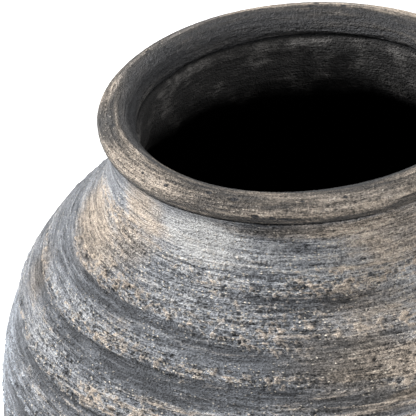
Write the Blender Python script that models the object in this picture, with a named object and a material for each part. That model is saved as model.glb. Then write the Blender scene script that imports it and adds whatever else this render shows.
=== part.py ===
"""A wide-mouthed storage jar of coil-built earthenware that stands on its own flat base.

The jar goes together from the table up: a floor slab, courses of wall coil pressed on one another,
a neck coil, and a thick rolled rim coil. Each coil sits on a sloping, crowned bed luted with slip.
Lengths are in metres, the origin is under the middle of the base, and +Z is the jar's axis.
"""

from math import cos, pi, radians, sin

import bmesh
import bpy
import numpy as np
from mathutils import Vector

# Body
HEIGHT = 0.365  # table to the crest of the rim
BELLY_RADIUS = 0.1633  # wall at its widest, before the swell of the coils
BELLY_HEIGHT = 0.1745  # widest part of the wall, above the table
FOOT_RADIUS = 0.094  # wall where it meets the table
MOUTH_RADIUS = 0.081  # clear opening at the neck
WALL = 0.012  # wall thickness, square to its face

# Shape of the wall's two curves, as shares of the height that each one spans
SHOULDER_FULLNESS = 0.80
NECK_FULLNESS = 0.41
LOWER_FULLNESS = 0.45
FOOT_FULLNESS = 0.40
FOOT_LEAN = radians(27)  # outward lean of the wall as it leaves the table

# Floor slab
FLOOR = 0.014  # thickness of the slab
FOOT_EDGE = 0.004  # round of the slab's bottom edge
STAND_WIDTH = 0.024  # flat ring that the jar stands on
RECESS = 0.0025  # hollow of the underside inside that ring

# Wall coils
COIL_COUNT = 14  # courses from the slab to the rim, the neck among them
COIL_SWELL = 0.0014  # how far a coil's face bulges between its two joints
BED_LIFT = 0.005  # inner edge of a bed above its outer edge, along the wall
BED_CROWN = 0.0015  # rise of the rounded top of a coil, into the hollow of the next
LUTE = 0.0003  # slip line between two pieces

# Rim coil
RIM_OVERHANG = 0.007  # rim's widest line past the neck
RIM_SHELF = 0.0015  # flat underside between the rim's curl and the neck
RIM_FLARE = 0.0108  # opening of the rim's inside, from the mouth to the crest
RIM_RISE = 0.0056  # crest above the widest line
RIM_CURL = 0.0072  # widest line above the underside
RIM_BED_LIFT = 0.0014  # inner edge of the rim's bed above its outer edge

# Facets
TURN_STEPS = 44
SWELL_STEPS = 4
INNER_STEPS = 2
EDGE_STEPS = 3
RIM_STEPS = 5
CURVE_SAMPLES = 200
MERGE_DISTANCE = 0.00001
SHARP_ANGLE = radians(40)

NECK_RADIUS = MOUTH_RADIUS + WALL
RIM_RADIUS = NECK_RADIUS + RIM_OVERHANG
RIM_WIDEST_HEIGHT = HEIGHT - RIM_RISE
NECK_HEIGHT = RIM_WIDEST_HEIGHT - RIM_CURL


def bezier(start, start_pull, end_pull, end):
    """Points along one cubic curve in the (radius, height) plane."""
    t = np.linspace(0.0, 1.0, CURVE_SAMPLES)[:, None]
    corners = [np.array(point) for point in (start, start_pull, end_pull, end)]
    shares = ((1 - t) ** 3, 3 * t * (1 - t) ** 2, 3 * t**2 * (1 - t), t**3)
    return sum(share * corner for share, corner in zip(shares, corners))


def quarter_round(centre, reach, first_angle, last_angle, steps):
    """Points of an elliptical arc in the (radius, height) plane."""
    angles = np.linspace(first_angle, last_angle, steps + 1)
    return [(centre[0] + reach[0] * cos(a), centre[1] + reach[1] * sin(a)) for a in angles]


def wall_curves():
    """The wall's outer curve from table to neck, its inner curve, and the length along the outer one."""
    foot = (FOOT_RADIUS, 0.0)
    belly = (BELLY_RADIUS, BELLY_HEIGHT)
    neck = (NECK_RADIUS, NECK_HEIGHT)
    foot_reach = FOOT_FULLNESS * BELLY_HEIGHT
    foot_pull = (FOOT_RADIUS + foot_reach * sin(FOOT_LEAN), foot_reach * cos(FOOT_LEAN))
    lower_pull = (BELLY_RADIUS, BELLY_HEIGHT * (1 - LOWER_FULLNESS))
    shoulder_drop = NECK_HEIGHT - BELLY_HEIGHT
    shoulder_pull = (BELLY_RADIUS, BELLY_HEIGHT + SHOULDER_FULLNESS * shoulder_drop)
    neck_pull = (NECK_RADIUS, NECK_HEIGHT - NECK_FULLNESS * shoulder_drop)
    lower = bezier(foot, foot_pull, lower_pull, belly)
    upper = bezier(belly, shoulder_pull, neck_pull, neck)
    outer = np.concatenate([lower, upper[1:]])
    along = np.gradient(outer, axis=0)
    along /= np.linalg.norm(along, axis=1)[:, None]
    outward = np.stack([along[:, 1], -along[:, 0]], axis=1)
    steps = np.linalg.norm(np.diff(outer, axis=0), axis=1)
    length = np.concatenate([[0.0], np.cumsum(steps)])
    return outer, outer - WALL * outward, outward, length


OUTER, INNER, OUTWARD, LENGTH = wall_curves()


def on_curve(curve, place):
    """The point of a wall curve at a length measured up the outside of the wall."""
    return np.array([np.interp(place, LENGTH, curve[:, 0]), np.interp(place, LENGTH, curve[:, 1])])


def radius_at(curve, height):
    """The radius of a wall curve at a height above the table."""
    return float(np.interp(height, curve[:, 1], curve[:, 0]))


def bed_middle(outer_place, inner_place):
    """The crown of a bed, between its outer and inner edges."""
    middle_place = (outer_place + inner_place) / 2 + BED_CROWN
    return (on_curve(OUTER, middle_place) + on_curve(INNER, middle_place)) / 2


def clay(name, colour, roughness):
    """Fired clay of one colour."""
    material = bpy.data.materials.new(name)
    material.use_nodes = True
    shader = material.node_tree.nodes["Principled BSDF"]
    shader.inputs["Base Color"].default_value = (*colour, 1.0)
    shader.inputs["Roughness"].default_value = roughness
    shader.inputs["Metallic"].default_value = 0.0
    material.diffuse_color = (*colour, 1.0)
    return material


def turned_piece(name, outline, colour, roughness, closed=True):
    """A solid turned from an outline of (radius, height) points; an open outline starts and ends on the axis."""
    shape = bmesh.new()
    points = [shape.verts.new((radius, 0.0, height)) for radius, height in outline]
    pairs = list(zip(points, points[1:]))
    if closed:
        pairs.append((points[-1], points[0]))
    edges = [shape.edges.new(pair) for pair in pairs]
    bmesh.ops.spin(
        shape,
        geom=points + edges,
        cent=Vector((0.0, 0.0, 0.0)),
        axis=Vector((0.0, 0.0, 1.0)),
        angle=2 * pi,
        steps=TURN_STEPS,
        use_merge=True,
    )
    bmesh.ops.remove_doubles(shape, verts=shape.verts, dist=MERGE_DISTANCE)
    bmesh.ops.recalc_face_normals(shape, faces=shape.faces)
    mesh = bpy.data.meshes.new(name)
    shape.to_mesh(mesh)
    shape.free()
    mesh.shade_smooth()
    mesh.set_sharp_from_angle(angle=SHARP_ANGLE)
    mesh.materials.append(clay(name + "_clay", colour, roughness))
    piece = bpy.data.objects.new(name, mesh)
    bpy.context.scene.collection.objects.link(piece)
    return piece


def floor_slab():
    """The slab that the jar is raised on: a round edge, a flat standing ring and a shallow hollow inside it."""
    edge_radius = radius_at(OUTER, FOOT_EDGE)
    corner = (edge_radius - FOOT_EDGE, FOOT_EDGE)
    ring_inside = corner[0] - STAND_WIDTH
    outline = [(0.0, FLOOR), (radius_at(OUTER, FLOOR), FLOOR)]
    outline += quarter_round(corner, (FOOT_EDGE, FOOT_EDGE), 0.0, -pi / 2, EDGE_STEPS)
    outline += [(ring_inside, 0.0), (ring_inside - RECESS, RECESS), (0.0, RECESS)]
    return turned_piece("base_slab", outline, (0.16, 0.13, 0.11), 0.9, closed=False)


def wall_coil(name, start, end, on_slab, under_rim, colour, roughness):
    """One course of the wall, between two lengths up its outside."""
    places = np.linspace(end, start, SWELL_STEPS + 1)
    shares = np.linspace(1.0, 0.0, SWELL_STEPS + 1)
    outline = []
    for place, share in zip(places, shares):
        swell = COIL_SWELL * 4 * share * (1 - share)
        outline.append(on_curve(OUTER, place) + swell * on_curve(OUTWARD, place))
    if on_slab:
        bed_height = FLOOR + LUTE
        inner_start = float(np.interp(bed_height, INNER[:, 1], LENGTH))
    else:
        inner_start = start + BED_LIFT
        outline.append(bed_middle(start, inner_start))
    if under_rim:
        inner_end = float(np.interp(NECK_HEIGHT - LUTE, INNER[:, 1], LENGTH))
    else:
        inner_end = end + BED_LIFT
    outline += [on_curve(INNER, place) for place in np.linspace(inner_start, inner_end, INNER_STEPS + 1)]
    if under_rim:
        outline.append((MOUTH_RADIUS, NECK_HEIGHT + RIM_BED_LIFT - LUTE))
    else:
        outline.append(bed_middle(end, inner_end))
    return turned_piece(name, outline, colour, roughness)


def rim_coil():
    """The rolled rim: a round crest, a face that curls under to a narrow shelf, and a flared inside."""
    crest_radius = MOUTH_RADIUS + RIM_FLARE
    seam_height = NECK_HEIGHT + RIM_BED_LIFT
    face_reach = (RIM_RADIUS - crest_radius, RIM_RISE)
    curl_reach = (RIM_OVERHANG - RIM_SHELF, RIM_CURL)
    flare_reach = (RIM_FLARE, HEIGHT - seam_height)
    curl_centre = (RIM_RADIUS - curl_reach[0], RIM_WIDEST_HEIGHT)
    outline = quarter_round((crest_radius, RIM_WIDEST_HEIGHT), face_reach, pi / 2, 0.0, RIM_STEPS)
    outline += quarter_round(curl_centre, curl_reach, 0.0, -pi / 2, RIM_STEPS)[1:]
    outline.append((NECK_RADIUS, NECK_HEIGHT))
    outline += quarter_round((crest_radius, seam_height), flare_reach, pi, pi / 2, RIM_STEPS)[:-1]
    return turned_piece("rim_coil", outline, (0.13, 0.11, 0.095), 0.75)


for leftover in list(bpy.data.objects):
    bpy.data.objects.remove(leftover)

jar = bpy.data.objects.new("storage_jar", None)
bpy.context.scene.collection.objects.link(jar)
pieces = [floor_slab()]

wall_start = float(np.interp(FLOOR + LUTE, OUTER[:, 1], LENGTH))
wall_end = float(np.interp(NECK_HEIGHT - LUTE, OUTER[:, 1], LENGTH))
joints = np.linspace(wall_start, wall_end, COIL_COUNT + 1)
smoked_grey = np.array((0.075, 0.078, 0.085))
worn_grey = np.array((0.19, 0.19, 0.195))
for course in range(COIL_COUNT):
    first = course == 0
    last = course == COIL_COUNT - 1
    pieces.append(
        wall_coil(
            "neck_coil" if last else f"wall_coil_{course + 1:02d}",
            joints[course] + (0.0 if first else LUTE / 2),
            joints[course + 1] - (0.0 if last else LUTE / 2),
            on_slab=first,
            under_rim=last,
            colour=smoked_grey + (worn_grey - smoked_grey) * course / COIL_COUNT,
            roughness=0.8,
        )
    )
pieces.append(rim_coil())

for piece in pieces:
    piece.parent = jar
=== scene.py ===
import itertools
from math import cos, pi, radians, sin

import bmesh
import bpy
import numpy as np
from mathutils import Matrix, Vector


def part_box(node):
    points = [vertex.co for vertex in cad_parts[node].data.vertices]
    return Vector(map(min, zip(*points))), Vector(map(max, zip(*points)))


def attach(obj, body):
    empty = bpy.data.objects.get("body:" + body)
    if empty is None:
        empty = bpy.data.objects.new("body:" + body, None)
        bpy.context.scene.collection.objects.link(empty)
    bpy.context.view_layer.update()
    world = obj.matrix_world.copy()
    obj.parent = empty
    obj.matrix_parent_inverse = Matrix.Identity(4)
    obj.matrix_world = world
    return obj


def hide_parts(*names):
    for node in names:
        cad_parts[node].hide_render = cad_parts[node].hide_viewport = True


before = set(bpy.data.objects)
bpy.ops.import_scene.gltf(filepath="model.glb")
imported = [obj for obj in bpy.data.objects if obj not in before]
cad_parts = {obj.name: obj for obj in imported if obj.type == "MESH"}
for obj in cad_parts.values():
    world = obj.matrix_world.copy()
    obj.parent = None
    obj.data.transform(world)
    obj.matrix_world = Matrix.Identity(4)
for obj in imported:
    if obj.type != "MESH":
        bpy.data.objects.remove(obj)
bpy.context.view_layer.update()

# Floor slab
# The jar is raised on a thick round slab of coarse clay, whose edge is the start of the wall's curve. Its
# underside is hollowed a little, so that the jar stands on the flat ring that is left round the edge.

slab_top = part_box("base_slab")[1][2]
neck_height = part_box("rim_coil")[0][2]
slab_edge = 0.004
stand_width = 0.024
slab_recess = 0.0025
foot_radius = 0.094
belly_radius = 0.1633
belly_height = 0.1745
neck_radius = 0.093
wall = 0.012
shoulder_fullness = 0.80
neck_fullness = 0.41
lower_fullness = 0.45
foot_fullness = 0.40
foot_lean = radians(27)
curve_samples = 400
turn_steps = 1440
skin_pitch = 0.0006
weld = 0.000002
axis_radius = 0.000001


def wall_curve():
    """The outside of the wall from the table to the neck, with its inside and the way up it."""

    def bezier(start, start_pull, end_pull, end):
        t = np.linspace(0.0, 1.0, curve_samples)[:, None]
        corners = [np.array(point) for point in (start, start_pull, end_pull, end)]
        shares = ((1 - t) ** 3, 3 * t * (1 - t) ** 2, 3 * t**2 * (1 - t), t**3)
        return sum(share * corner for share, corner in zip(shares, corners))

    foot = (foot_radius, 0.0)
    belly = (belly_radius, belly_height)
    neck_end = (neck_radius, neck_height)
    foot_reach = foot_fullness * belly_height
    foot_pull = (foot_radius + foot_reach * sin(foot_lean), foot_reach * cos(foot_lean))
    lower_pull = (belly_radius, belly_height * (1 - lower_fullness))
    rise = neck_height - belly_height
    shoulder_pull = (belly_radius, belly_height + shoulder_fullness * rise)
    neck_pull = (neck_radius, neck_height - neck_fullness * rise)
    lower = bezier(foot, foot_pull, lower_pull, belly)
    upper = bezier(belly, shoulder_pull, neck_pull, neck_end)
    outer_curve = np.concatenate([lower, upper[1:]])
    along = np.gradient(outer_curve, axis=0)
    along /= np.linalg.norm(along, axis=1)[:, None]
    inner_curve = outer_curve - wall * np.stack([along[:, 1], -along[:, 0]], axis=1)
    steps = np.linalg.norm(np.diff(outer_curve, axis=0), axis=1)
    return outer_curve, inner_curve, np.concatenate([[0.0], np.cumsum(steps)])


outside, inside, way_up = wall_curve()
wall_start = float(np.interp(slab_top, outside[:, 1], way_up))
wall_end = way_up[-1]


def on_wall(curve, way):
    """Radius and height on the outside or inside of the wall, at a way up it."""
    return float(np.interp(way, way_up, curve[:, 0])), float(np.interp(way, way_up, curve[:, 1]))


def skin_rows(curve, first, last, pitch, skin):
    """Rows of an outline along one skin of the wall."""
    count = max(2, int(round(abs(last - first) / pitch)))
    ways = np.linspace(first, last, count + 1)
    return [(*on_wall(curve, way), wall_end - way, skin) for way in ways]


def clay_noise(points, seed):
    """Smooth noise of about -1 to 1, with lumps one unit apart, at each row of x, y and z."""
    cell = np.floor(points).astype(np.int64)
    part = points - cell
    fading = part**3 * (part * (part * 6 - 15) + 10)
    result = np.zeros(len(points))
    for corner in itertools.product((0, 1), repeat=3):
        at = cell + corner
        code = at[:, 0] * 374761393 + at[:, 1] * 668265263 + at[:, 2] * 1440662683 + seed * 69069
        code = code & 0xFFFFFFFF
        code = ((code ^ (code >> 13)) * 1274126177) & 0xFFFFFFFF
        code ^= code >> 16
        slope = np.stack([code & 1023, (code >> 10) & 1023, (code >> 20) & 1023], axis=1) / 511.5 - 1
        away = part - corner
        share = np.prod(np.where(np.array(corner) == 1, fading, 1 - fading), axis=1)
        result += share * np.sum(slope * away, axis=1)
    return result * 1.2


def rolled_sheet(name, outline, relief_of, steps=turn_steps):
    """A closed ring of clay: a fine sheet rolled round the jar's axis along an outline.

    Each row of the outline is radius, height, drop, skin: drop is the way down the wall from the neck, and
    skin is 1 on the outside, -1 on the inside and 0 in a joint. relief_of gives how far each point of the
    skin stands proud, the four shades of wear, smoke and painted light that the clay's material reads, and
    how coarse the clay is.
    """
    rows = np.array(outline)
    skins = rows[:, 3]
    sheet = bmesh.new()
    bmesh.ops.create_grid(sheet, x_segments=steps, y_segments=len(rows), size=0.5)
    mesh = bpy.data.meshes.new(name)
    sheet.to_mesh(mesh)
    sheet.free()
    flat = np.empty(len(mesh.vertices) * 3, np.float32)
    mesh.vertices.foreach_get("co", flat)
    flat = flat.reshape(-1, 3)
    turn = np.rint((flat[:, 0] + 0.5) * steps).astype(int) % steps * (2 * pi / steps) - pi
    row = np.rint((flat[:, 1] + 0.5) * len(rows)).astype(int) % len(rows)

    after = np.roll(rows, -1, axis=0)
    before = np.roll(rows, 1, axis=0)
    ahead = np.where((after[:, 3] == skins)[:, None], after[:, :2], rows[:, :2])
    behind = np.where((before[:, 3] == skins)[:, None], before[:, :2], rows[:, :2])
    along = ahead - behind
    along /= np.maximum(np.linalg.norm(along, axis=1), 1e-9)[:, None]
    outward = np.stack([-along[:, 1], along[:, 0]], axis=1)

    radius, height, drop, skin = rows[row].T
    round_x = np.sin(turn)
    round_y = -np.cos(turn)
    base = np.stack([radius * round_x, radius * round_y, height], axis=1)
    proud, wear, coarse = relief_of(base, turn, drop, skin)
    proud = proud * np.abs(skin)
    moved_radius = radius + proud * outward[row, 0]
    moved_height = height + proud * outward[row, 1]
    place = np.stack([moved_radius * round_x, moved_radius * round_y, moved_height], axis=1)
    mesh.vertices.foreach_set("co", place.astype(np.float32).ravel())
    shades = {"drop": drop, "inside": (skin < 0) * 1.0, "coarse": coarse, "row": row * 1.0}
    for label, values in shades.items():
        shade = mesh.attributes.new(label, "FLOAT", "POINT")
        shade.data.foreach_set("value", values.astype(np.float32))
    worn = mesh.attributes.new("wear", "FLOAT_COLOR", "POINT")
    worn.data.foreach_set("color", wear.astype(np.float32).ravel())

    shape = bmesh.new()
    shape.from_mesh(mesh)
    bmesh.ops.remove_doubles(shape, verts=shape.verts, dist=weld)
    bmesh.ops.recalc_face_normals(shape, faces=shape.faces)
    shape.to_mesh(mesh)
    shape.free()
    mesh.shade_smooth()
    by_joint = (np.roll(skins, 1) == 0) | (np.roll(skins, -1) == 0)
    sharp_rows = np.flatnonzero((np.abs(skins) == 1) & by_joint)
    row_of = np.empty(len(mesh.vertices), np.float32)
    mesh.attributes["row"].data.foreach_get("value", row_of)
    ends = np.empty(len(mesh.edges) * 2, np.int32)
    mesh.edges.foreach_get("vertices", ends)
    first, second = row_of[ends.reshape(-1, 2)].T
    sharp = (first == second) & np.isin(first, sharp_rows)
    mesh.attributes.new("sharp_edge", "BOOLEAN", "EDGE").data.foreach_set("value", sharp)
    piece = bpy.data.objects.new(name, mesh)
    bpy.context.scene.collection.objects.link(piece)
    return piece


def add_node(tree, kind, sockets, **options):
    """One shader node. A socket takes a number, a colour or the output that feeds it."""
    node = tree.nodes.new("ShaderNode" + kind)
    for name, value in options.items():
        setattr(node, name, value)
    for name, value in sockets.items():
        if isinstance(value, bpy.types.NodeSocket):
            tree.links.new(value, node.inputs[name])
        else:
            node.inputs[name].default_value = value
    return node


def smoked_clay(name):
    """Coarse clay, smoked black, brushed with pale slip that stays on what stands proud, rubbed to bare tan.

    The wear colour on the mesh holds: red, how far the clay stands proud of its neighbourhood; green, bare
    tan clay, or below zero a painted bluish reflection on the left limb; blue, how much pale slip is left,
    with a painted sheen on the left limb and painted shade where the lip curls under; alpha, smoke black,
    with painted shade under the rim, under the grooves' overhangs, along the seam and in the crack inside.
    """
    slate_dark = (0.049, 0.052, 0.058, 1.0)
    slate_light = (0.231, 0.243, 0.266, 1.0)
    umber_dark = (0.062, 0.055, 0.048, 1.0)
    umber_light = (0.250, 0.212, 0.176, 1.0)
    chalk = (0.455, 0.450, 0.442, 1.0)
    # painted reflection: the bluish sheen on the left limb
    painted_sheen_blue = (0.405, 0.440, 0.490, 1.0)
    tan_clay = (0.51, 0.425, 0.345, 1.0)
    # soot black, also laid on as painted shade under the rim, in undercuts and along the seam
    soot_and_shade_black = (0.030, 0.030, 0.032, 1.0)
    grog = (0.60, 0.54, 0.46, 1.0)
    hole_black = (0.035, 0.034, 0.034, 1.0)
    inner_dark = (0.016, 0.015, 0.0145, 1.0)
    inner_grey = (0.15, 0.142, 0.135, 1.0)
    # painted shade in the seam crack inside the mouth
    crack_shade_black = (0.002, 0.002, 0.002, 1.0)
    # painted shade: the black that the inside fades to further down
    depth_shade_black = (0.0006, 0.0006, 0.0006, 1.0)
    bump_height = 0.0022
    sheen = 0.3

    material = bpy.data.materials.new(name)
    material.use_nodes = True
    tree = material.node_tree
    shader = tree.nodes["Principled BSDF"]
    place = add_node(tree, "TexCoord", {}).outputs["Object"]
    drop = add_node(tree, "Attribute", {}, attribute_name="drop").outputs["Fac"]
    inside = add_node(tree, "Attribute", {}, attribute_name="inside").outputs["Fac"]
    coarse = add_node(tree, "Attribute", {}, attribute_name="coarse").outputs["Fac"]
    wear = add_node(tree, "Attribute", {}, attribute_name="wear")
    proud, bare, slip = add_node(tree, "SeparateColor", {"Color": wear.outputs["Color"]}).outputs
    soot_and_shade_share = wear.outputs["Alpha"]
    axes = add_node(tree, "SeparateXYZ", {"Vector": place}).outputs
    unrolled = add_node(tree, "CombineXYZ", {"X": axes[0], "Y": axes[1], "Z": drop}).outputs[0]

    def times(value, weight, extra=0.0):
        return add_node(tree, "Math", {0: value, 1: weight, 2: extra}, operation="MULTIPLY_ADD").outputs[0]

    def total(start, *parts):
        for value, weight in parts:
            start = times(value, weight, start)
        return start

    def ramp(value, low, high):
        shaped = add_node(tree, "MapRange", {0: value, 1: low, 2: high}, interpolation_type="SMOOTHSTEP")
        return shaped.outputs[0]

    def blend(share, first, second):
        return add_node(tree, "Mix", {0: share, 6: first, 7: second}, data_type="RGBA").outputs[2]

    def scaled(scaling):
        """Place on the unrolled wall, scaled across, across and down."""
        return add_node(tree, "VectorMath", {0: unrolled, 1: scaling}, operation="MULTIPLY").outputs[0]

    def noise(scaling, detail, rough):
        """Noise about zero, mostly between -1 and 1."""
        sockets = {"Vector": scaled(scaling), "Scale": 1.0, "Detail": detail, "Roughness": rough}
        return times(add_node(tree, "TexNoise", sockets).outputs["Fac"], 4.0, -2.0)

    broad = noise((8.0, 8.0, 95.0), 3.0, 0.6)
    lines = noise((34.0, 34.0, 480.0), 4.0, 0.7)
    hairs = noise((80.0, 80.0, 900.0), 2.0, 0.7)
    ridged = noise((11.0, 11.0, 170.0), 2.0, 0.5)
    curled = noise((230.0, 230.0, 400.0), 1.0, 0.5)
    blotch = noise((30.0, 30.0, 70.0), 4.0, 0.65)
    cloud = noise((75.0, 75.0, 110.0), 4.0, 0.6)
    grain = noise((480.0, 480.0, 620.0), 3.0, 0.75)
    sand = noise((1000.0, 1000.0, 1300.0), 1.0, 0.5)
    grit = times(grain, coarse)

    def scattered(scaling, size, chance):
        """Dots of 0 to 1, one to a cell, of which a share are left out."""
        sockets = {0: grain, 1: (0.12, 0.12, 0.12), 2: scaled(scaling)}
        bent = add_node(tree, "VectorMath", sockets, operation="MULTIPLY_ADD").outputs[0]
        cells = add_node(tree, "TexVoronoi", {"Vector": bent, "Scale": 1.0})
        lot = add_node(tree, "SeparateColor", {"Color": cells.outputs["Color"]}).outputs[0]
        kept = ramp(lot, chance + 0.05, chance)
        return times(ramp(cells.outputs["Distance"], size, size * 0.35), times(kept, coarse))

    def crests(field, sharpness, cover):
        """Thin bright lines where a noise field passes zero, in the places that cover leaves."""
        gap = add_node(tree, "Math", {0: field}, operation="ABSOLUTE").outputs[0]
        return ramp(times(gap, -sharpness, cover), 0.0, 1.0)

    crumbs = scattered((450.0, 450.0, 650.0), 0.42, 0.42)
    holes = scattered((270.0, 270.0, 430.0), 0.42, 0.58)
    ridges = crests(ridged, 9.0, total(0.6, (blotch, 0.6), (soot_and_shade_share, -0.3)))
    curls = crests(curled, 5.0, total(-0.1, (coarse, 0.5), (blotch, 0.9), (soot_and_shade_share, -0.8)))

    # Outside: smoked ground, pale or tan slip brushed over it with a painted bluish sheen on the left limb,
    # soot and painted shade, grog, holes, and a fine speckle
    smoke = total(0.48, (broad, 0.12), (blotch, 0.12), (lines, 0.20), (grit, 0.15))
    smoke = total(smoke, (slip, 0.7), (soot_and_shade_share, -0.75))
    slate_share = ramp(smoke, 0.0, 1.0)
    cool = blend(slate_share, slate_dark, slate_light)
    warm = blend(slate_share, umber_dark, umber_light)
    ground = blend(ramp(total(0.0, (bare, 1.0), (blotch, 0.15)), 0.1, 0.8), cool, warm)
    brushed = total(slip, (proud, 0.55), (lines, 0.26), (hairs, 0.14), (grit, 0.12), (sand, 0.10))
    brushed = total(brushed, (ridges, 0.40), (broad, 0.06), (curls, 0.75), (soot_and_shade_share, -0.40))
    pale_share = ramp(brushed, 0.05, 1.10)
    tan_share = ramp(total(bare, (blotch, 0.35), (lines, 0.12), (proud, 0.85)), 0.15, 0.90)
    # painted reflection: below zero the chalk turns to the bluish sheen on the left limb
    chalk_and_sheen = blend(ramp(bare, 0.0, -0.6), chalk, painted_sheen_blue)
    worn = blend(pale_share, ground, blend(tan_share, chalk_and_sheen, tan_clay))
    dark = total(soot_and_shade_share, (proud, -0.7), (grit, -0.35), (lines, -0.25), (pale_share, -0.5))
    # soot and painted shade darken the ground
    sooted_and_shaded = blend(ramp(dark, 0.2, 1.2), worn, soot_and_shade_black)
    flecks = ramp(total(0.0, (crumbs, 1.0), (curls, 0.5), (soot_and_shade_share, -0.5)), 0.05, 0.7)
    flecked = blend(times(flecks, 0.85), sooted_and_shaded, grog)
    pocked = blend(times(holes, 0.65), flecked, hole_black)
    speckle = total(0.0, (sand, 0.60), (grit, 0.28), (hairs, 0.64), (lines, 0.22))
    speckle = times(speckle, times(coarse, 0.65, 0.35))
    shade = times(speckle, times(pale_share, -0.8, 1.35), 1.0)
    outer = add_node(tree, "HueSaturation", {"Value": shade, "Color": pocked}).outputs[0]

    # Inside: clouded smoke at the mouth, black painted shade in the seam crack, and a fade to black painted
    # shade further down
    depth = ramp(total(drop, (blotch, 0.005)), 0.012, 0.036)
    smudge = ramp(total(0.16, (cloud, 0.9), (grain, 0.25), (hairs, 0.30), (bare, 0.7)), 0.0, 1.4)
    mottled = blend(smudge, inner_dark, inner_grey)
    # painted shade: the seam crack is blackened
    mottled = blend(ramp(soot_and_shade_share, 0.5, 1.0), mottled, crack_shade_black)
    # painted shade: the inside darkens to black with the way down
    inner = blend(depth, mottled, depth_shade_black)

    height = total(0.5, (lines, 0.30), (hairs, 0.20), (grit, 0.28), (sand, 0.26), (ridges, 0.30))
    height = total(height, (curls, 0.55), (crumbs, 0.70), (holes, -1.0))
    bump = add_node(tree, "Bump", {"Strength": 1.0, "Distance": bump_height, "Height": height})
    tree.links.new(blend(inside, outer, inner), shader.inputs["Base Color"])
    tree.links.new(total(0.78, (pale_share, 0.15), (soot_and_shade_share, -0.15)), shader.inputs["Roughness"])
    tree.links.new(bump.outputs["Normal"], shader.inputs["Normal"])
    tree.links.new(times(times(depth, inside), -sheen, sheen), shader.inputs["Specular IOR Level"])
    return material


def slab_relief(base, turn, drop, skin):
    """The slab is pressed flat and only a little uneven, and its standing ring is true."""
    lumps = clay_noise(base * 60, 3) * 0.0004 + clay_noise(base * 240, 4) * 0.0002
    proud = np.where(base[:, 2] < 0.0005, 0.0, lumps)
    wear = np.empty((len(base), 4))
    wear[:, 0] = lumps * 900
    wear[:, 1] = 0.5
    wear[:, 2] = 0.25
    wear[:, 3] = 0.3
    return proud, wear, np.full(len(base), 0.8)


wall_clay = smoked_clay("smoked_wall_clay")
edge_way = float(np.interp(slab_edge, outside[:, 1], way_up))
edge_radius = on_wall(outside, edge_way)[0]
edge_centre = edge_radius - slab_edge
ring_inside = edge_centre - stand_width
first_radius = 0.01
row_gap = 0.001
edge_drop = 0.40
ring_drop = 0.41
recess_drop = 0.42
middle_drop = 0.43
top_radii = np.linspace(first_radius, on_wall(outside, wall_start)[0] - row_gap, 30)
ring_radii = np.linspace(edge_centre - row_gap, ring_inside, 16)
recess_radii = np.linspace(ring_inside - slab_recess, first_radius, 30)
slab_rows = [(axis_radius, slab_top, edge_drop, 0)]
slab_rows += [(radius, slab_top, edge_drop, 0) for radius in top_radii]
slab_rows += skin_rows(outside, wall_start, edge_way, skin_pitch, 1)
for angle in np.linspace(0, pi / 2, 9)[1:]:
    edge_point = (edge_centre + slab_edge * cos(angle), slab_edge - slab_edge * sin(angle))
    slab_rows.append((*edge_point, edge_drop, 1))
slab_rows += [(radius, 0.0, ring_drop, 1) for radius in ring_radii]
slab_rows += [(radius, slab_recess, recess_drop, 1) for radius in recess_radii]
slab_rows += [(axis_radius, slab_recess, middle_drop, 0)]
slab = rolled_sheet("clay_base_slab", slab_rows, slab_relief, steps=turn_steps // 4)
slab.data.materials.append(wall_clay)
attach(slab, "root")
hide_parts("base_slab")

# Wall coils
# Thirteen ropes of coarse clay, each pressed on the one below and smeared down over the joint. Fingers left
# grooves round the wall and tore its skin, and it was combed, smoked and rubbed with pale slip.

coil_count = 14
coil_pitch = (wall_end - wall_start) / coil_count
bed_lift = 0.005
bed_crown = 0.0015
lute = 0.0003
lower_pitch = 0.0009
inner_pitch = 0.004
shoulder_start = 8

ring_size = 0.15
view_middle = -38
face_lift = 0.0019
patch_lift = 0.0005
groove_depth = 0.0029
undercut_depth = 0.0011
undercut_height = 0.0028
neck_fillet = 0.0020
comb_height = 0.00030
low_comb_height = 0.00026
thread_base = 0.0005
low_thread_height = 0.0005
groove_thread_height = 0.0006
lump_height = 0.00025
flake_height = 0.0016
ridge_height = 0.0010
gouge_depth = 0.0011
pit_depth = 0.0013
pit_lip = 0.0004
drag_depth = 0.0008
drag_lip = 0.0003

# Marks left by hand and smoke, with a painted bluish reflection on the left limb and painted shade under the
# rim: turn from the front in degrees, half width, way down, half height, strength
grooves = (
    (2, 24, 0.0390, 0.0065, 0.6),
    (-54, 26, 0.0612, 0.0090, 1.0),
    (-22, 20, 0.0655, 0.0090, 0.9),
    (12, 18, 0.0600, 0.0060, 0.4),
    (-30, 38, 0.0845, 0.0120, 1.0),
    (14, 14, 0.0880, 0.0100, 0.5),
    (-95, 25, 0.0850, 0.0060, 0.8),
    (-80, 60, 0.1125, 0.0100, 0.55),
    (-5, 45, 0.1130, 0.0110, 0.9),
    (-60, 90, 0.1395, 0.0080, 0.8),
)
tan_marks = (
    (-55, 11, 0.011, 0.017, 0.78),
    (-78, 20, 0.044, 0.017, 0.85),
    (-60, 13, 0.032, 0.015, 0.7),
    (14, 20, 0.050, 0.020, 0.28),
    (17, 7, 0.0775, 0.0025, 1.0),
    (19, 7, 0.0885, 0.0030, 1.0),
    (6, 6, 0.0755, 0.0035, 0.9),
    (12, 6, 0.0765, 0.0030, 0.9),
    (15, 9, 0.0045, 0.0040, 0.8),
    (7, 17, 0.068, 0.018, 0.5),
    (-86, 10, 0.088, 0.018, 0.55),
    (10, 22, 0.086, 0.012, 0.3),
    (24, 14, 0.074, 0.010, 0.75),
    (26, 16, 0.016, 0.016, 0.50),
    (0, 34, 0.004, 0.005, 0.55),
)
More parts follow.
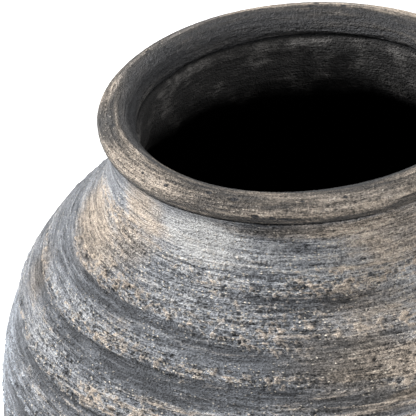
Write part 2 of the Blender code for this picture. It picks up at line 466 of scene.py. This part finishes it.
# painted reflection: a bluish sheen on the left limb
painted_sheen_marks = ((-95, 32, 0.145, 0.040, 0.9),)
slip_and_sheen_marks = (
    (-33, 16, 0.012, 0.015, 0.84),
    (-54, 12, 0.012, 0.018, 0.55),
    (-75, 20, 0.040, 0.022, 0.34),
    (-60, 15, 0.036, 0.016, 0.12),
    (-66, 18, 0.076, 0.006, 0.30),
    (-75, 15, 0.098, 0.008, 0.35),
    (-52, 22, 0.103, 0.006, 0.28),
    (15, 12, 0.052, 0.008, 0.30),
    # painted reflection: the pale sheen on the left limb
    (-100, 24, 0.140, 0.060, 0.47),
    (18, 24, 0.018, 0.018, 0.32),
    (-8, 18, 0.014, 0.010, 0.26),
    (34, 20, 0.085, 0.060, 0.74),
    (2, 44, 0.122, 0.020, 0.46),
    (-4, 26, 0.1000, 0.0075, 0.34),
)
soot_and_shade_marks = (
    (-2, 20, 0.041, 0.007, 0.15),
    # painted shade in the crease under the rim
    (-14, 30, 0.002, 0.004, 0.35),
    (4, 18, 0.070, 0.028, 0.14),
)


def joint_rows(outer_way, inner_way, away):
    """Rows across a joint, from the outer skin to the inner one, drawn back by half the slip line."""
    rows = []
    for share in (0.15, 0.5, 0.85):
        way = outer_way + (inner_way - outer_way) * share + bed_crown * 4 * share * (1 - share) + away
        out_point = np.array(on_wall(outside, way))
        in_point = np.array(on_wall(inside, way))
        rows.append((*(out_point + (in_point - out_point) * share), wall_end - way, 0))
    return rows


def coil_outline(course, outer_step, inner_step):
    """The closed outline of one course: outer skin down, joint in, inner skin up, joint out."""
    first = wall_start + coil_pitch * course
    last = first + coil_pitch
    rows = skin_rows(outside, last, first, outer_step, 1)
    if course == 0:
        inner_first = float(np.interp(slab_top, inside[:, 1], way_up))
    else:
        inner_first = first + bed_lift
        rows += joint_rows(first, inner_first, lute / 2)
    under_rim = course == coil_count - 1
    inner_last = last if under_rim else last + bed_lift
    rows += skin_rows(inside, inner_first, inner_last, inner_step, -1)
    if under_rim:
        rows += [(neck_radius - wall * share, neck_height - lute, 0.0, 0) for share in (0.8, 0.5, 0.2)]
    else:
        rows += joint_rows(last, inner_last, -lute / 2)[::-1]
    return rows


def fade(value, start, width):
    """0 on one side of a start, rising to 1 over a width; a width below zero rises the other way."""
    return np.clip((value - start) / width, 0, 1)


def band(value, middle, half_width):
    """1 in the middle of a band, falling off softly on both sides."""
    return np.exp(-(((value - middle) / half_width) ** 2))


def ring_noise(ring, across, down, seed):
    """Noise with so many lumps to a metre across and down the wall."""
    return clay_noise(ring * (across, across, down), seed)


def marks_at(marks, turn, drop, upper=1.0):
    """How strongly marks cover each point; upper is how far they reach up, as a share of down."""
    cover = np.zeros(len(turn))
    for middle, half_width, way, half_height, strength in marks:
        aside = (np.degrees(turn) - middle + 180) % 360 - 180
        below = drop - way
        tall = np.where(below < 0, upper * half_height, half_height)
        reach = (aside / half_width) ** 2 + (below / tall) ** 2
        cover = np.maximum(cover, strength * np.exp(-(reach**1.5)))
    return cover


def pitted(base, turn, drop, radius, cells, size, chance, stretch, seed):
    """Depth of pits and height of their lips, 0 to 1, one to a cell of a net rolled round the wall."""
    across = (turn + pi) / (2 * pi) * cells
    down = drop / size
    depth = np.zeros(len(turn))
    lip = np.zeros(len(turn))
    ragged = 1 + 0.5 * clay_noise(base * 650, seed + 50)
    for step_x, step_y in itertools.product((-1, 0, 1), repeat=2):
        cell_x = np.floor(across).astype(np.int64) + step_x
        cell_y = np.floor(down).astype(np.int64) + step_y
        code = (cell_x % cells) * 374761393 + cell_y * 668265263 + seed * 2246822519
        code = code & 0xFFFFFFFF
        code = ((code ^ (code >> 15)) * 2246822519) & 0xFFFFFFFF
        code ^= code >> 13
        code = (code * 3266489917) & 0xFFFFFFFF
        code ^= code >> 16
        spot_x = (code & 255) / 255
        spot_y = ((code >> 8) & 255) / 255
        wide = size * (0.08 + 0.16 * ((code >> 16) & 255) / 255)
        here = ((code >> 24) & 255) / 255 < chance
        aside = (across - cell_x - spot_x) * (2 * pi / cells) * radius
        below = (down - cell_y - spot_y) * size
        reach = np.hypot(aside / stretch, below) / wide * ragged
        depth = np.maximum(depth, here * np.clip(1.3 - reach, 0, 1))
        lip = np.maximum(lip, here * band(reach, 1.45, 0.3))
    return depth * depth * (3 - 2 * depth), lip


def wall_relief(base, turn, drop, skin):
    """Grooves between the coils, combing, torn skin, lumps and pits, with the wear that follows them,
    painted shade under overhangs and a painted sheen on the left limb.
    """
    degrees_round = np.degrees(turn)
    radius = np.hypot(base[:, 0], base[:, 1])
    ring = np.stack([base[:, 0] * ring_size / radius, base[:, 1] * ring_size / radius, drop], axis=1)
    way = drop + ring_noise(ring, 9, 10, 11) * 0.004 + ring_noise(ring, 24, 30, 12) * 0.0015
    patch = ring_noise(ring, 11, 40, 13)

    # Round the back and low down, where no marks are listed, the coil joints themselves make the grooves
    aside = np.abs((degrees_round - view_middle + 180) % 360 - 180)
    unseen = np.clip(fade(aside, 85, 20) + fade(drop, 0.135, 0.02), 0, 1)
    below = ((way / coil_pitch + 0.5) % 1 - 0.5) * coil_pitch
    joint = band(below, 0.0, np.where(below < 0, 0.003, 0.008))
    joint *= np.clip(0.75 + ring_noise(ring, 10, 36, 14), 0, 1) * fade(drop, 0.015, 0.01)
    joint_groove = 0.6 * unseen * joint
    groove = np.maximum(marks_at(grooves, turn, way, upper=0.25), joint_groove)
    lower_part = np.maximum(marks_at(grooves, turn, way - undercut_height, upper=0.25), joint_groove)
    broken = np.clip(0.6 + 1.2 * ring_noise(ring, 20, 25, 45), 0, 1)
    undercut = np.clip(groove - lower_part, 0, 1) * broken * np.clip(-degrees_round / 30, 0.25, 1)
    uneven = 0.8 + 0.7 * ring_noise(ring, 26, 110, 25) + 0.5 * ring_noise(ring, 60, 300, 26)
    groove *= np.clip(uneven, 0.1, 1.1)

    # the sheen marks push this below zero: a painted bluish reflection on the left limb
    tan = marks_at(tan_marks, turn, way) - marks_at(painted_sheen_marks, turn, way)
    tan += unseen * np.clip(ring_noise(ring, 9, 30, 15) * 1.5 - 0.1, 0, 0.9)
    tan += 0.18 * fade(degrees_round, -15, 25) * (1 - unseen)
    slip = 0.12 + 0.09 * patch + 0.12 * ring_noise(ring, 36, 150, 16)
    # the slip marks include a painted pale sheen on the left limb
    slip += marks_at(slip_and_sheen_marks, turn, way) - 0.14 * groove - 0.12 * fade(drop, 0.045, 0.05)
    slip += unseen * np.clip(ring_noise(ring, 8, 45, 17), -0.2, 0.3)
    # the undercut term is painted shade under the grooves' overhanging edges; the soot marks hold painted
    # shade under the rim
    soot_and_shade = marks_at(soot_and_shade_marks, turn, way) + 0.34 * groove + 0.50 * undercut
    smooth_neck = 0.35 + 0.35 * fade(degrees_round, -35, 20)
    coarse = np.clip(0.85 + 0.5 * patch - 0.75 * groove, 0.2, 1.25)
    coarse *= np.clip((drop - 0.012) / 0.02, smooth_neck, 1)
    coarse *= np.clip((degrees_round + 95) / 35, 0.5, 1)
    rough = np.clip(coarse - 0.35, 0, 0.8)

    torn_lip = marks_at(grooves, turn, way + 0.006, upper=0.4) * (1 - groove)
    torn_lip += unseen * band(below, -0.005, 0.003)
    torn = np.clip(0.2 + 1.1 * ring_noise(ring, 16, 64, 40) + torn_lip, 0, 1) * (1 - 0.85 * groove)
    torn *= np.clip((drop - 0.012) / 0.012, 0.1, 1)
    torn *= np.clip((degrees_round + 100) / 25, 0.35, 1)
    tear = ring_noise(ring, 80, 250, 41) + 0.4 * ring_noise(ring, 190, 420, 42)
    ridge = np.clip(1 - np.abs(tear) / 0.18, 0, 1) ** 1.5
    gouge = np.clip(-tear - 0.25, 0, 0.4) * 2.5
    flakes = clay_noise(base * (300, 300, 400), 29) + 0.5 * clay_noise(base * 700, 44)
    flakes = np.clip(flakes - 0.10, 0, 0.4) * 2.5
    lumps = clay_noise(base * 260, 20) + 0.6 * clay_noise(base * 520, 21)
    pits, lips = pitted(base, turn, drop, radius, 150, 0.0060, 0.12, 1.2, 22)
    drags, drag_lips = pitted(base, turn, drop, radius, 130, 0.0040, 0.30, 2.2, 23)

    comb = ring_noise(ring, 14, 330, 18) + 0.6 * ring_noise(ring, 24, 620, 19)
    combed = comb_height + low_comb_height * fade(drop, 0.05, 0.04)
    threads = np.clip(1 - np.abs(ring_noise(ring, 12, 230, 46)) / 0.16, 0, 1)
    threads *= np.clip(0.50 + 1.5 * ring_noise(ring, 10, 50, 47), 0, 1) * fade(drop, 0.004, 0.01)
    threads *= np.clip(0.3 + groove + fade(drop, 0.040, -0.02) + fade(drop, 0.085, 0.02), 0, 1)
    threads *= np.clip((degrees_round + 100) / 30, 0.3, 1)
    thread_height = thread_base + low_thread_height * fade(drop, 0.075, 0.010)
    thread_height += groove_thread_height * groove

    fine = combed * comb + thread_height * threads + lump_height * lumps * coarse
    fine += flake_height * flakes * torn
    fine += rough * (pit_lip * lips - pit_depth * pits + drag_lip * drag_lips - drag_depth * drags)
    fine += torn * (ridge_height * ridge - gouge_depth * gouge)
    outer = face_lift - groove_depth * groove - undercut_depth * undercut + patch_lift * patch + fine
    outer += neck_fillet * np.exp(-drop / 0.0035)

    # Inside the mouth the neck's edge bulges under the rim, with a crack along the seam that is blackened as
    # painted shade
    crack = band(drop, 0.0, 0.0013 + 0.0007 * ring_noise(ring, 40, 1, 27))
    edge = band(drop, 0.004, 0.005) * (0.7 + 0.6 * ring_noise(ring, 28, 1, 28))
    inner = 0.0014 * ring_noise(ring, 26, 60, 24) + 0.0003 * lumps + 0.0012 * edge - 0.0018 * crack
    rubbed = band(drop, 0.003, 0.002) * np.clip(0.4 + 1.2 * ring_noise(ring, 45, 90, 43), 0, 1)
    soot_and_shade += rough * (0.6 * pits + 0.5 * drags) + 0.4 * torn * gouge
    wear = np.empty((len(base), 4))
    wear[:, 0] = np.clip(fine * 1000, -0.6, 1)
    wear[:, 1] = np.where(skin < 0, rubbed, np.clip(tan, -1, 1))
    wear[:, 2] = slip
    # on the inner skin the fourth shade is the seam crack's painted shade
    wear[:, 3] = np.clip(np.where(skin < 0, crack * 1.2, np.where(skin > 0, soot_and_shade, 1.0)), 0, 1)
    return np.where(skin < 0, inner, outer), wear, coarse


for course in range(coil_count - 1):
    label = f"wall_coil_{course + 1:02d}"
    if course < shoulder_start:
        coil_rows = coil_outline(course, lower_pitch, inner_pitch)
        coil = rolled_sheet("clay_" + label, coil_rows, wall_relief, steps=turn_steps // 2)
    else:
        coil_rows = coil_outline(course, skin_pitch, inner_pitch)
        coil = rolled_sheet("clay_" + label, coil_rows, wall_relief)
    coil.data.materials.append(wall_clay)
    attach(coil, "root")
    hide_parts(label)

# Neck coil
# The last course stands nearly upright and was turned smoother than the wall, with fine lines round it. Its
# inner edge bulges a little into the mouth, under the seam where the rim was added.

neck_pitch = 0.0007
neck_inner_pitch = 0.002
neck_rows = coil_outline(coil_count - 1, neck_pitch, neck_inner_pitch)
neck = rolled_sheet("clay_neck_coil", neck_rows, wall_relief)
neck.data.materials.append(wall_clay)
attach(neck, "root")
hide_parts("neck_coil")

# Rim coil
# A fat rope of clay, rolled over the top of the neck and turned to a round lip that curls under outside and
# flares inside. Handling has rubbed the smoke off its edge.

rim_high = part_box("rim_coil")[1]
rim_radius = rim_high[0]
rim_top = rim_high[2]
mouth_radius = 0.081
rim_rise = 0.0056
rim_curl = 0.0072
rim_shelf = 0.0015
rim_flare = 0.0108
rim_bed_lift = 0.0014
rim_step = 0.0006
crest_drop = -0.030
flare_drop = -0.050
crest_radius = mouth_radius + rim_flare
widest_height = rim_top - rim_rise
seam_height = neck_height + rim_bed_lift
curl_reach = rim_radius - neck_radius - rim_shelf


def arc_rows(centre, reach, first_angle, last_angle, skin, drop_start):
    """Rows along an elliptical arc of the rim, with the drop counted on from drop_start."""
    steps = int(max(reach) * pi / 2 / rim_step)
    angles = np.linspace(first_angle, last_angle, steps + 1)
    points = [(centre[0] + reach[0] * cos(angle), centre[1] + reach[1] * sin(angle)) for angle in angles]
    rows = []
    drop = drop_start
    for before, point in zip([points[0]] + points[:-1], points):
        drop += np.hypot(point[0] - before[0], point[1] - before[1])
        rows.append((*point, drop, skin))
    return rows


face_reach = (rim_radius - crest_radius, rim_rise)
flare_reach = (rim_flare, rim_top - seam_height)
rim_rows = arc_rows((crest_radius, widest_height), face_reach, pi / 2, 0.0, 1, crest_drop)
curl_centre = (rim_radius - curl_reach, widest_height)
rim_rows += arc_rows(curl_centre, (curl_reach, rim_curl), 0.0, -pi / 2, 1, rim_rows[-1][2])[1:]
curl_drop = rim_rows[-1][2]
rim_rows += [(neck_radius + rim_shelf * share, neck_height, curl_drop, 1) for share in (0.5, 0.0)]
for share in (0.2, 0.5, 0.8):
    rim_rows.append((neck_radius - wall * share, neck_height + lute + rim_bed_lift * share, 0.0, 0))
rim_rows += arc_rows((crest_radius, seam_height), flare_reach, pi, pi / 2, 1, flare_drop)[:-1]


def rim_relief(base, turn, drop, skin):
    """The rim is turned round, but a little uneven, scratched along its length and chipped, with painted
    shade under its lip and along the seam.
    """
    degrees_round = np.degrees(turn)
    ring = np.stack([np.sin(turn) * 0.1, -np.cos(turn) * 0.1, drop], axis=1)
    sway = ring_noise(ring, 12, 4, 31) * 0.0006
    comb = ring_noise(ring, 20, 420, 32)
    lumps = clay_noise(base * 480, 33)
    patch = ring_noise(ring, 22, 150, 34)
    broad = ring_noise(ring, 14, 90, 37)
    scratches = ring_noise(ring, 30, 520, 38) + 0.7 * ring_noise(ring, 60, 240, 39)
    chips, lips = pitted(base, turn, drop, 0.1, 110, 0.0050, 0.10, 1.8, 35)
    fine = 0.00014 * comb + 0.00014 * lumps - 0.0004 * chips + 0.0001 * lips
    flare_side = fade(drop, -0.0335, -0.003)
    # painted shade: the lip darkens where it curls under towards the neck
    crease_shade = fade(drop, -0.0205, 0.0045)
    # the seam at the flare's foot gets a small notch and painted shade along it
    seam = fade(drop, -0.0484 + 0.0012 * ring_noise(ring, 45, 1, 36), -0.0008)
    left = fade(degrees_round, -60, -25) * fade(degrees_round, -175, 20)
    worn_edge = band(drop, -0.0225, 0.0025)
    crest = band(drop, -0.0310, 0.0035) * (1 - left)
    far_edge = band(drop, -0.0280, 0.0022) * np.clip(0.5 - 2 * np.cos(turn), 0, 1)
    slip = 0.34 + 0.5 * patch + 0.3 * broad - 0.22 * flare_side - 0.15 * crease_shade - 0.60 * left
    slip += 0.14 * worn_edge - 0.15 * crest + 0.5 * far_edge
    soot_and_shade = 0.2 + (0.66 - 0.28 * left) * flare_side + 0.3 * crease_shade + 0.3 * left + 0.25 * crest + 0.8 * chips
    soot_and_shade += seam - 0.5 * broad - 0.45 * scratches - 0.4 * far_edge
    wear = np.empty((len(base), 4))
    wear[:, 0] = np.clip(fine * 2200, -1, 1)
    wear[:, 1] = np.clip(0.8 - 0.15 * left - 0.15 * flare_side + 0.3 * patch, 0, 1)
    wear[:, 2] = slip
    wear[:, 3] = np.where(skin == 0, 1.0, np.clip(soot_and_shade, 0, 1))
    return sway + fine - 0.001 * seam, wear, 0.55 - 0.2 * flare_side


rim = rolled_sheet("clay_rim_coil", rim_rows, rim_relief, steps=turn_steps * 2 // 3)
rim.data.materials.append(wall_clay)
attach(rim, "root")
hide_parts("rim_coil")

# Table, light and camera
# The jar stands on a pale table under a window light from the upper left and three soft fills, in a white
# room, and is seen from above its rim.

table_mesh = bpy.data.meshes.new("pale_table")
table_shape = bmesh.new()
bmesh.ops.create_grid(table_shape, x_segments=1, y_segments=1, size=12.0)
table_shape.to_mesh(table_mesh)
table_shape.free()
table = bpy.data.objects.new("pale_table", table_mesh)
bpy.context.scene.collection.objects.link(table)
table_paint = bpy.data.materials.new("pale_table_paint")
table_paint.use_nodes = True
paint_tree = table_paint.node_tree
paint = paint_tree.nodes["Principled BSDF"]
paint.inputs["Base Color"].default_value = (0.82, 0.82, 0.82, 1.0)
paint.inputs["Roughness"].default_value = 0.9
paint.inputs["Emission Color"].default_value = (1.0, 1.0, 1.0, 1.0)
table_glow = 0.4
seen = add_node(paint_tree, "LightPath", {}).outputs["Is Camera Ray"]
glow = add_node(paint_tree, "Math", {0: seen, 1: table_glow}, operation="MULTIPLY").outputs[0]
paint_tree.links.new(glow, paint.inputs["Emission Strength"])
table_mesh.materials.append(table_paint)

world = bpy.data.worlds.new("white_room")
bpy.context.scene.world = world
world.use_nodes = True
room_tree = world.node_tree
room_light = room_tree.nodes["Background"]
room_light.inputs["Color"].default_value = (0.96, 0.98, 1.0, 1.0)
room_level = 0.35
path = add_node(room_tree, "LightPath", {}).outputs
rays = {0: path["Is Camera Ray"], 1: path["Is Glossy Ray"]}
direct = add_node(room_tree, "Math", rays, operation="MAXIMUM").outputs[0]
levels = {0: direct, 1: 1.0 - room_level, 2: room_level}
level = add_node(room_tree, "Math", levels, operation="MULTIPLY_ADD").outputs[0]
room_tree.links.new(level, room_light.inputs["Strength"])

light_aim = Vector((0.0, 0.0, 0.25))


def soft_light(name, spot, size, power):
    """A square lamp at a spot, turned to the jar."""
    lamp = bpy.data.lights.new(name, "AREA")
    lamp.shape = "SQUARE"
    lamp.size = size
    lamp.energy = power
    holder = bpy.data.objects.new(name, lamp)
    holder.location = spot
    holder.rotation_euler = (light_aim - Vector(spot)).to_track_quat("-Z", "Y").to_euler()
    bpy.context.scene.collection.objects.link(holder)


soft_light("left_window", (-1.45, 0.05, 1.65), 0.3, 74.0)
soft_light("right_fill", (1.0, -0.9, 1.3), 0.8, 18.0)
soft_light("front_fill", (-0.6, -1.6, 0.7), 0.8, 4.0)
soft_light("far_left_fill", (-1.4, 0.9, 0.9), 1.0, 12.0)

view_height = radians(30.0)
view_distance = 1.3
turn_aside = Matrix.Rotation(radians(2.172), 3, "Y")
turn_down = Matrix.Rotation(radians(-2.059), 3, "X")
lean = Matrix.Rotation(radians(-4.18), 3, "Z")
rim_middle = Vector((0.0, 0.0, widest_height))
eye = rim_middle + view_distance * Vector((0.0, -cos(view_height), sin(view_height)))
camera_data = bpy.data.cameras.new("camera")
camera_data.lens = 232.4
camera_data.sensor_width = 36.0
camera = bpy.data.objects.new("camera", camera_data)
facing = (rim_middle - eye).to_track_quat("-Z", "Y").to_matrix()
aimed = facing @ turn_aside @ turn_down @ lean
camera.matrix_world = Matrix.Translation(eye) @ aimed.to_4x4()
bpy.context.scene.collection.objects.link(camera)
bpy.context.scene.camera = camera
bpy.context.scene.view_settings.view_transform = "Standard"
